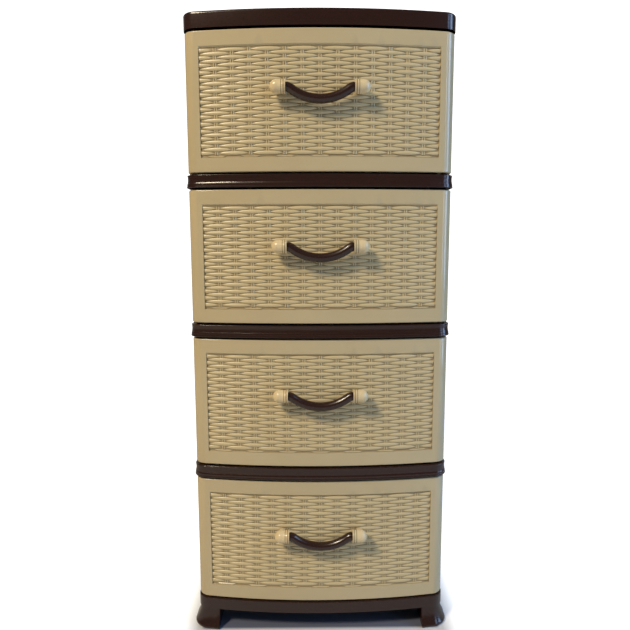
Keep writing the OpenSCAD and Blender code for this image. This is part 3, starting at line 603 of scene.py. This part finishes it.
# %% [markdown]
# ## The moulded wicker
#
# Real wicker is woven: strands run across upright stakes, in front of one and behind the next,
# and the rows alternate. The mould copies a woven panel, so what shows is a brick pattern of
# long lenses, each one a strand that bulges over a stake, with the two thin rods of the next
# stake peeping out between the strands' ends.
#
# Geometry Nodes suit a rule like this. Each row is one curve swept with a half-round profile,
# whose radius swells in front of one stake and shrinks behind the next. Half a period later comes
# the next row. The rods are swept the same way. The sheet is drawn flat, bent to the front's bow,
# and moved to its place. All sizes are inputs, so the same tree serves every front.

# %% Inputs of the wicker tree
wicker = bpy.data.node_groups.new("moulded_wicker", "GeometryNodeTree")
wicker.interface.new_socket("Relief", in_out="OUTPUT", socket_type="NodeSocketGeometry")
INPUT_KINDS = {"Float": ("Half width", "Height", "Row pitch", "Stake pitch", "Strand length",
                         "Strand height", "Depth", "Rod radius", "Rod spacing", "Floor radius"),
               "Int": ("Rows", "Stakes", "Steps", "Seed"),
               "Vector": ("Place",),
               "Material": ("Plastic",)}
for kind, names in INPUT_KINDS.items():
    for name in names:
        wicker.interface.new_socket(name, in_out="INPUT", socket_type="NodeSocket" + kind)
given = wicker.nodes.new("NodeGroupInput").outputs


def repeated(points, instance):
    """A piece of geometry repeated on points, as real geometry."""
    return node(wicker, "GeometryNodeRealizeInstances", {"Geometry": node(
        wicker, "GeometryNodeInstanceOnPoints", {"Points": points, "Instance": instance})})


print("inputs of the wicker tree:", sum(len(names) for names in INPUT_KINDS.values()))

# %% [markdown]
# The sheet is drawn lying down: x runs along the rows, y counts them from the top row at zero
# downwards, and the relief hangs to -z, because that is how the sweep sets its profile. A quarter
# turn then stands it up with its relief facing -y.

# %% Row lines and rod lines
end = node(wicker, "ShaderNodeMath", (given["Half width"], -1.0), operation="MULTIPLY")
row_line = node(wicker, "GeometryNodeCurvePrimitiveLine",
                {"Start": node(wicker, "ShaderNodeCombineXYZ", (end,)),
                 "End": node(wicker, "ShaderNodeCombineXYZ", (given["Half width"],))})
row_line = node(wicker, "GeometryNodeResampleCurve", {"Curve": row_line, "Count": given["Steps"]})
first_row = node(wicker, "ShaderNodeMath", (given["Row pitch"], 0.5), operation="MULTIPLY")
row_starts = node(wicker, "GeometryNodeMeshLine",
                  {"Count": given["Rows"],
                   "Offset": node(wicker, "ShaderNodeCombineXYZ", (0.0, given["Row pitch"])),
                   "Start Location": node(wicker, "ShaderNodeCombineXYZ", (0.0, first_row))})
rows = repeated(row_starts, row_line)

foot_of_rod = node(wicker, "ShaderNodeCombineXYZ", (0.0, given["Height"]))
rod_line = node(wicker, "GeometryNodeCurvePrimitiveLine", {"End": foot_of_rod})
gaps = node(wicker, "ShaderNodeMath", (given["Stakes"], 1.0), operation="SUBTRACT")
gaps_left = node(wicker, "ShaderNodeMath", (gaps, -0.5), operation="MULTIPLY")
first_stake = node(wicker, "ShaderNodeMath", (gaps_left, given["Stake pitch"]), operation="MULTIPLY")
stake_starts = node(wicker, "GeometryNodeMeshLine",
                    {"Count": given["Stakes"],
                     "Offset": node(wicker, "ShaderNodeCombineXYZ", (given["Stake pitch"],)),
                     "Start Location": node(wicker, "ShaderNodeCombineXYZ", (first_stake,))})
first_rod = node(wicker, "ShaderNodeMath", (given["Rod spacing"], -0.5), operation="MULTIPLY")
pair = node(wicker, "GeometryNodeMeshLine",
            {"Count": 2, "Offset": node(wicker, "ShaderNodeCombineXYZ", (given["Rod spacing"],)),
             "Start Location": node(wicker, "ShaderNodeCombineXYZ", (first_rod,))})
rods = repeated(repeated(stake_starts, pair), rod_line)
print("wicker tree so far:", len(wicker.nodes), "nodes")

# %% [markdown]
# The swelling follows from where a point stands in its row. The distance to the nearest stake that
# the strand covers, as a share t of half a strand, gives the width (1 - t^2.6)^0.8: full in the
# middle, round towards the ends. A strand never thins to nothing, so the row stays in one piece
# behind the rods. A seeded random share makes the strands a little unequal, as in real wicker.

# %% The swelling of a row
FULLNESS, ROUNDNESS = 2.6, 0.8
THINNEST, SLIMMEST, STOUTEST = 0.12, 0.93, 1.03  # shares of a strand's full height
IDS_IN_A_ROW = 64.0                              # more than the strands in a row

at = node(wicker, "ShaderNodeSeparateXYZ", {0: node(wicker, "GeometryNodeInputPosition")}).outputs
rows_down = node(wicker, "ShaderNodeMath", (at["Y"], given["Row pitch"]), operation="DIVIDE")
row_index = node(wicker, "ShaderNodeMath", (rows_down,), operation="FLOOR")
odd_row = node(wicker, "ShaderNodeMath", (row_index, 2.0), operation="FLOORED_MODULO")
shift = node(wicker, "ShaderNodeMath", (odd_row, 0.5), operation="MULTIPLY")
period = node(wicker, "ShaderNodeMath", (given["Stake pitch"], 2.0), operation="MULTIPLY")
along = node(wicker, "ShaderNodeMath", (at["X"], period), operation="DIVIDE")
along = node(wicker, "ShaderNodeMath", (along, shift), operation="ADD")
strand_index = node(wicker, "ShaderNodeMath", (along,), operation="FLOOR")

in_period = node(wicker, "ShaderNodeMath", (along,), operation="FRACT")
from_middle = node(wicker, "ShaderNodeMath", (in_period, 0.5), operation="SUBTRACT")
from_middle = node(wicker, "ShaderNodeMath", (from_middle,), operation="ABSOLUTE")
from_middle = node(wicker, "ShaderNodeMath", (from_middle, period), operation="MULTIPLY")
half_strand = node(wicker, "ShaderNodeMath", (given["Strand length"], 0.5), operation="MULTIPLY")
share = node(wicker, "ShaderNodeMath", (from_middle, half_strand), operation="DIVIDE")
share = node(wicker, "ShaderNodeMath", (share, 1.0), operation="MINIMUM")
swelling = node(wicker, "ShaderNodeMath", (share, FULLNESS), operation="POWER")
swelling = node(wicker, "ShaderNodeMath", (1.0, swelling), operation="SUBTRACT")
swelling = node(wicker, "ShaderNodeMath", (swelling, ROUNDNESS), operation="POWER")

strand_id = node(wicker, "ShaderNodeMath", (row_index, IDS_IN_A_ROW), operation="MULTIPLY")
strand_id = node(wicker, "ShaderNodeMath", (strand_id, strand_index), operation="ADD")
unequal = node(wicker, "FunctionNodeRandomValue",
               {"Min": SLIMMEST, "Max": STOUTEST, "ID": strand_id, "Seed": given["Seed"]},
               data_type="FLOAT").outputs[1]
swelling = node(wicker, "ShaderNodeMath", (swelling, unequal), operation="MULTIPLY")
swelling = node(wicker, "ShaderNodeMath", (swelling, THINNEST), operation="MAXIMUM")
print("wicker tree so far:", len(wicker.nodes), "nodes")


# %% Sweep rows and rods, stand the sheet up
STRAND_POINTS, ROD_POINTS = 7, 5  # points on the arcs of the profiles


def half_round(half_wide, deep, arc_points):
    """A closed half-round profile, flat at the back."""
    arc = node(wicker, "GeometryNodeCurveArc", {"Resolution": arc_points, "Radius": 1.0,
                                                "Sweep Angle": math.pi, "Connect Center": True})
    size = node(wicker, "ShaderNodeCombineXYZ", (half_wide, deep, 1.0))
    return node(wicker, "GeometryNodeTransform", {"Geometry": arc, "Scale": size})


half_high = node(wicker, "ShaderNodeMath", (given["Strand height"], 0.5), operation="MULTIPLY")
strand_profile = half_round(half_high, given["Depth"], STRAND_POINTS)
rod_profile = half_round(given["Rod radius"], given["Rod radius"], ROD_POINTS)
swollen = node(wicker, "GeometryNodeSetCurveRadius", {"Curve": rows, "Radius": swelling})
strands = node(wicker, "GeometryNodeCurveToMesh",
               {"Curve": swollen, "Scale": node(wicker, "GeometryNodeInputRadius"),
                "Fill Caps": True, "Profile Curve": strand_profile})
stakes = node(wicker, "GeometryNodeCurveToMesh",
              {"Curve": rods, "Fill Caps": True, "Profile Curve": rod_profile})
sheet = node(wicker, "GeometryNodeJoinGeometry")
wicker.links.new(strands.outputs[0], sheet.inputs[0])
wicker.links.new(stakes.outputs[0], sheet.inputs[0])
standing = node(wicker, "GeometryNodeTransform",
                {"Geometry": sheet, "Rotation": (math.radians(-90), 0, 0)})
half_sheet = node(wicker, "ShaderNodeMath", (given["Height"], 0.5), operation="MULTIPLY")
lift = node(wicker, "ShaderNodeCombineXYZ", (0.0, 0.0, half_sheet))
raised = node(wicker, "GeometryNodeTransform", {"Geometry": standing, "Translation": lift})
print("wicker tree so far:", len(wicker.nodes), "nodes")

# %% [markdown]
# The bend wraps the sheet round the recess floor, a cylinder about an upright axis. A point at x
# goes to the angle a = x / R, and keeps its distance in front of the floor. The floor's own drop,
# R (1 - cos a), is written 2 R sin(a/2)^2, which loses no digits at small angles.

# %% Bend, place and finish the tree
at = node(wicker, "ShaderNodeSeparateXYZ", {0: node(wicker, "GeometryNodeInputPosition")}).outputs
angle = node(wicker, "ShaderNodeMath", (at["X"], given["Floor radius"]), operation="DIVIDE")
proud = node(wicker, "ShaderNodeMath", (at["Y"], -1.0), operation="MULTIPLY")
radius = node(wicker, "ShaderNodeMath", (given["Floor radius"], proud), operation="ADD")
sine = node(wicker, "ShaderNodeMath", (angle,), operation="SINE")
across = node(wicker, "ShaderNodeMath", (radius, sine), operation="MULTIPLY")

half_angle = node(wicker, "ShaderNodeMath", (angle, 0.5), operation="MULTIPLY")
half_sine = node(wicker, "ShaderNodeMath", (half_angle,), operation="SINE")
squared = node(wicker, "ShaderNodeMath", (half_sine, half_sine), operation="MULTIPLY")
diameter = node(wicker, "ShaderNodeMath", (given["Floor radius"], 2.0), operation="MULTIPLY")
drop = node(wicker, "ShaderNodeMath", (diameter, squared), operation="MULTIPLY")
cosine = node(wicker, "ShaderNodeMath", (angle,), operation="COSINE")
outward = node(wicker, "ShaderNodeMath", (proud, cosine), operation="MULTIPLY")
inward = node(wicker, "ShaderNodeMath", (drop, outward), operation="SUBTRACT")
spot = node(wicker, "ShaderNodeCombineXYZ", (across, inward, at["Z"]))
bent = node(wicker, "GeometryNodeSetPosition", {"Geometry": raised, "Position": spot})
placed = node(wicker, "GeometryNodeTransform", {"Geometry": bent, "Translation": given["Place"]})
whole = node(wicker, "GeometryNodeRealizeInstances", {"Geometry": placed})
finished = node(wicker, "GeometryNodeSetMaterial", {"Geometry": whole, "Material": given["Plastic"]})
node(wicker, "NodeGroupOutput", {"Relief": finished})
print("wicker tree:", len(wicker.nodes), "nodes")


# %% [markdown]
# ## A woven sheet for every front
#
# One function runs the tree for one front: it sets the inputs by their sockets' identifiers, takes
# the evaluated result as a plain mesh, and removes the modifier, so the finished piece is a mesh
# and nothing else.

# %% Weave one sheet
identifier = {item.name: item.identifier for item in wicker.interface.items_tree
              if item.in_out == "INPUT"}


def weave(name, body, sizes):
    """A moulded wicker relief that rides on a body, with the tree's inputs given by name."""
    piece = bpy.data.objects.new(name, bpy.data.meshes.new(name))
    bpy.context.scene.collection.objects.link(piece)
    modifier = piece.modifiers.new("weave", "NODES")
    modifier.node_group = wicker
    for key, value in sizes.items():
        modifier[identifier[key]] = value
    modifier[identifier["Plastic"]] = wicker_cream
    keep_mesh(piece)
    piece.data.shade_smooth()
    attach(piece, body)
    return piece


print("the row pitch is set through", identifier["Row pitch"])

# %% [markdown]
# The rows are 5.2 mm apart, twenty-nine of them, and the stakes 25.6 mm. A strand is 47 mm long and
# 6.8 mm high where it swells. Its relief is 2.1 mm in a recess 2.65 mm deep, so the raised border
# of the front still protects it. The rows end on the sloping lips of the recess, and their backs
# are set a little into its floor.

# %% The woven drawer fronts
SUNK = 0.15 * MM  # how far a sheet's flat back is set into the floor of its recess
floor_h = front_h - MARGIN_TOP - MARGIN_BOTTOM - 2 * LIP
ROW_PITCH = 5.2 * MM
ROWS = math.floor(floor_h / ROW_PITCH)

woven = {"Row pitch": ROW_PITCH, "Rows": ROWS, "Height": ROWS * ROW_PITCH,
         "Stake pitch": 25.6 * MM, "Stakes": 13, "Steps": 140,
         "Strand length": 47 * MM, "Strand height": 6.8 * MM, "Depth": 2.1 * MM + SUNK,
         "Rod radius": 1.15 * MM + SUNK, "Rod spacing": 3.2 * MM, "Floor radius": FLOOR_R,
         "Half width": FLOOR_R * math.asin(floor_half / FLOOR_R) + LIP / 2}
for tier in TIERS:
    front_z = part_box(f"drawer_front_{tier}")[0].z
    middle_z = front_z + MARGIN_BOTTOM + LIP + floor_h / 2
    relief = weave(f"wicker_front_{tier}", f"drawer_{tier}", {
        **woven, "Seed": tier, "Place": (0.0, front_y + RECESS_D + SUNK, middle_z)})
    print(relief.name, ROWS, "rows", len(relief.data.polygons), "faces")

# %% [markdown]
# ## Light, floor and camera
#
# Product pictures with a pure white ground are taken on a light table: a sheet of opal acrylic that
# sweeps up into a wall and is lit from below and behind. The sheet is lit beside and behind the
# object, and again well in front of it. Close before the object it is plain pale acrylic, and a thin
# grey felt pad lies between the feet, so that little light comes up from below and the undersides keep
# their depth; the pad's dark tone is also a painted shadow under the tower. The glow is for the
# camera's eye alone: it whitens the ground, and the lamps do the lighting.

# %% Floor and wall
def cove():
    """A pale floor that curves up into a back wall, in one sheet."""
    radius, width, front, rear, top = 1.2, 24.0, -9.0, 3.0, 9.0
    path = [(front, 0.0), (rear - radius, 0.0)]
    steps = 16
    for i in range(1, steps + 1):
        turn = math.radians(90) * i / steps
        path.append((rear - radius + radius * math.sin(turn), radius - radius * math.cos(turn)))
    path.append((rear, top))
    mesh = bpy.data.meshes.new("cove")
    points = [(x, y, z) for y, z in path for x in (-width / 2, width / 2)]
    faces = [(2 * i, 2 * i + 1, 2 * i + 3, 2 * i + 2) for i in range(len(path) - 1)]
    mesh.from_pydata(points, [], faces)
    mesh.shade_smooth()
    piece = bpy.data.objects.new("cove", mesh)
    bpy.context.scene.collection.objects.link(piece)
    return piece


backdrop = cove()
print("cove:", len(backdrop.data.polygons), "faces")

# %% [markdown]
# Each edge of the glow and of the pad is a soft step between two places, in metres from the middle.
# The acrylic's clouds are some 0.7 m wide. Its satin grain is far finer than the 3 mm drawn here,
# which only has to blur what it mirrors.

# %% Opal acrylic and felt
GLOW_BESIDE, GLOW_BEHIND = (0.20, 0.24), (0.25, 0.30)
GLOW_BEFORE, GLOW_AGAIN = (-0.60, -0.24), (-1.7, -1.1)
SHADOW_PAD_SIDE, SHADOW_PAD_FRONT, SHADOW_PAD_REAR = (0.190, 0.196), (-0.214, -0.208), (0.215, 0.222)
ACRYLIC_CLOUDS, SATIN_GRAIN = 1.5, 300.0  # features in a metre


def light_table():
    """Opal acrylic with a satin face that glows around the object, with a dark felt pad under it that
    is also a painted shadow.
    """
    material, tree, place = new_material("opal_acrylic")
    axes = node(tree, "ShaderNodeSeparateXYZ", (place,)).outputs
    sideways = node(tree, "ShaderNodeMath", (axes["X"],), operation="ABSOLUTE")

    beside = node(tree, "ShaderNodeMapRange", (sideways, *GLOW_BESIDE))
    behind = node(tree, "ShaderNodeMapRange", (axes["Y"], *GLOW_BEHIND))
    not_before = node(tree, "ShaderNodeMapRange", (axes["Y"], *GLOW_BEFORE))
    far_before = node(tree, "ShaderNodeMapRange", (axes["Y"], *GLOW_AGAIN, 1.0, 0.0))
    seen = node(tree, "ShaderNodeLightPath").outputs["Is Camera Ray"]
    lit = node(tree, "ShaderNodeMath", (beside, behind), operation="MAXIMUM")
    lit = node(tree, "ShaderNodeMath", (lit, not_before), operation="MULTIPLY")
    lit = node(tree, "ShaderNodeMath", (lit, far_before), operation="MAXIMUM")
    lit = node(tree, "ShaderNodeMath", (lit, seen), operation="MULTIPLY")

    # The pad: a dark grey patch between the feet that cuts the bounce from below and is a painted
    # shadow under the tower.
    in_side = node(tree, "ShaderNodeMapRange", (sideways, *SHADOW_PAD_SIDE, 1.0, 0.0))
    in_front = node(tree, "ShaderNodeMapRange", (axes["Y"], *SHADOW_PAD_FRONT))
    in_rear = node(tree, "ShaderNodeMapRange", (axes["Y"], *SHADOW_PAD_REAR, 1.0, 0.0))
    painted_shadow_pad = node(tree, "ShaderNodeMath", (in_side, in_front), operation="MULTIPLY")
    painted_shadow_pad = node(tree, "ShaderNodeMath", (painted_shadow_pad, in_rear), operation="MULTIPLY")

    clouds = node(tree, "ShaderNodeTexNoise", {"Vector": place, "Scale": ACRYLIC_CLOUDS})
    tone = node(tree, "ShaderNodeMix", {0: clouds, 6: linear("#cdcdcb"), 7: linear("#d6d6d5")},
                data_type="RGBA").outputs[2]
    tone = node(tree, "ShaderNodeMix", {0: painted_shadow_pad, 6: tone, 7: linear("#5c6070")},
                data_type="RGBA").outputs[2]
    satin = node(tree, "ShaderNodeTexNoise", {"Vector": place, "Scale": SATIN_GRAIN})
    bump = node(tree, "ShaderNodeBump", {"Height": satin, "Strength": 0.2, "Distance": 0.1 * MM})
    shader = node(tree, "ShaderNodeBsdfPrincipled",
                  {"Base Color": tone, "Roughness": 0.6, "Normal": bump,
                   "Emission Color": linear("#ffffff"), "Emission Strength": lit})
    node(tree, "ShaderNodeOutputMaterial", {"Surface": shader})
    return material


backdrop.data.materials.append(light_table())
print("stage:", backdrop.data.materials[0].name)

# %% [markdown]
# The key light stands high to the left in front and is slightly warm. Two tall windows to the right
# are cool: they hardly light the faces, but every rounded corner mirrors them as upright streaks.
# The room around is dim and cool, and past the end of the sheet it is white to the camera.

# %% Lights
def area_light(name, position, size, watts, colour, tall=None):
    """An area light that looks at the tower, square unless it has a height of its own."""
    lamp = bpy.data.lights.new(name, "AREA")
    lamp.size = size
    if tall:
        lamp.shape = "RECTANGLE"
        lamp.size_y = tall
    lamp.energy = watts
    lamp.color = linear(colour)[:3]
    lamp_object = bpy.data.objects.new(name, lamp)
    lamp_object.location = position
    lamp_object.rotation_euler = (TOWER - Vector(position)).to_track_quat("-Z", "Y").to_euler()
    bpy.context.scene.collection.objects.link(lamp_object)


TOWER = Vector((0.0, -0.1, 0.5))  # the middle of the tower, near its fronts
area_light("key", (-2.3, -2.6, 3.7), 0.8, 194, "#ffefd4")
area_light("tall_window", (2.5, -0.75, 1.3), 0.7, 46, "#a8cdff", tall=2.4)
area_light("far_window", (2.1, -1.75, 1.3), 0.22, 16, "#a8cdff", tall=2.4)
print("lights:", [light.name for light in bpy.data.lights])

# %% The room
ROOM_STRENGTH = 0.11
world = bpy.data.worlds.new("studio")
world.use_nodes = True
room = world.node_tree
room.nodes.clear()
seen = node(room, "ShaderNodeLightPath").outputs["Is Camera Ray"]
tint = node(room, "ShaderNodeMix", {0: seen, 6: linear("#dfe8fa"), 7: linear("#ffffff")},
            data_type="RGBA").outputs[2]
strength = node(room, "ShaderNodeMapRange", (seen, 0.0, 1.0, ROOM_STRENGTH, 1.0))
background = node(room, "ShaderNodeBackground", {"Color": tint, "Strength": strength})
node(room, "ShaderNodeOutputWorld", {"Surface": background})
bpy.context.scene.world = world
bpy.context.scene.view_settings.view_transform = "Standard"
print("room:", world.name)

# %% [markdown]
# The camera stands close before the upper drawers, near the middle, and looks slightly down. A
# small shift of the lens centres the tower.

# %% Camera
YAW, PITCH, ROLL = 0.0095, 0.1276, -0.0016             # radians
STAND_BACK = Vector((0.0, -872 * MM, -301.56 * MM))    # from the top of the fronts

camera = bpy.data.cameras.new("camera")
camera.sensor_width = 36.0
camera.lens = 33.175
camera.shift_x = -0.008667
camera_object = bpy.data.objects.new("camera", camera)
top_of_fronts = Vector((0.0, front_y, front_high.z))
yaw = Matrix.Rotation(-YAW, 3, "Z")
turn = yaw @ Matrix.Rotation(math.radians(90) - PITCH, 3, "X") @ Matrix.Rotation(ROLL, 3, "Z")
camera_object.matrix_world = Matrix.Translation(top_of_fronts + yaw @ STAND_BACK) @ turn.to_4x4()
bpy.context.scene.collection.objects.link(camera_object)
bpy.context.scene.camera = camera_object
print("camera at", [round(v, 3) for v in camera_object.matrix_world.translation])
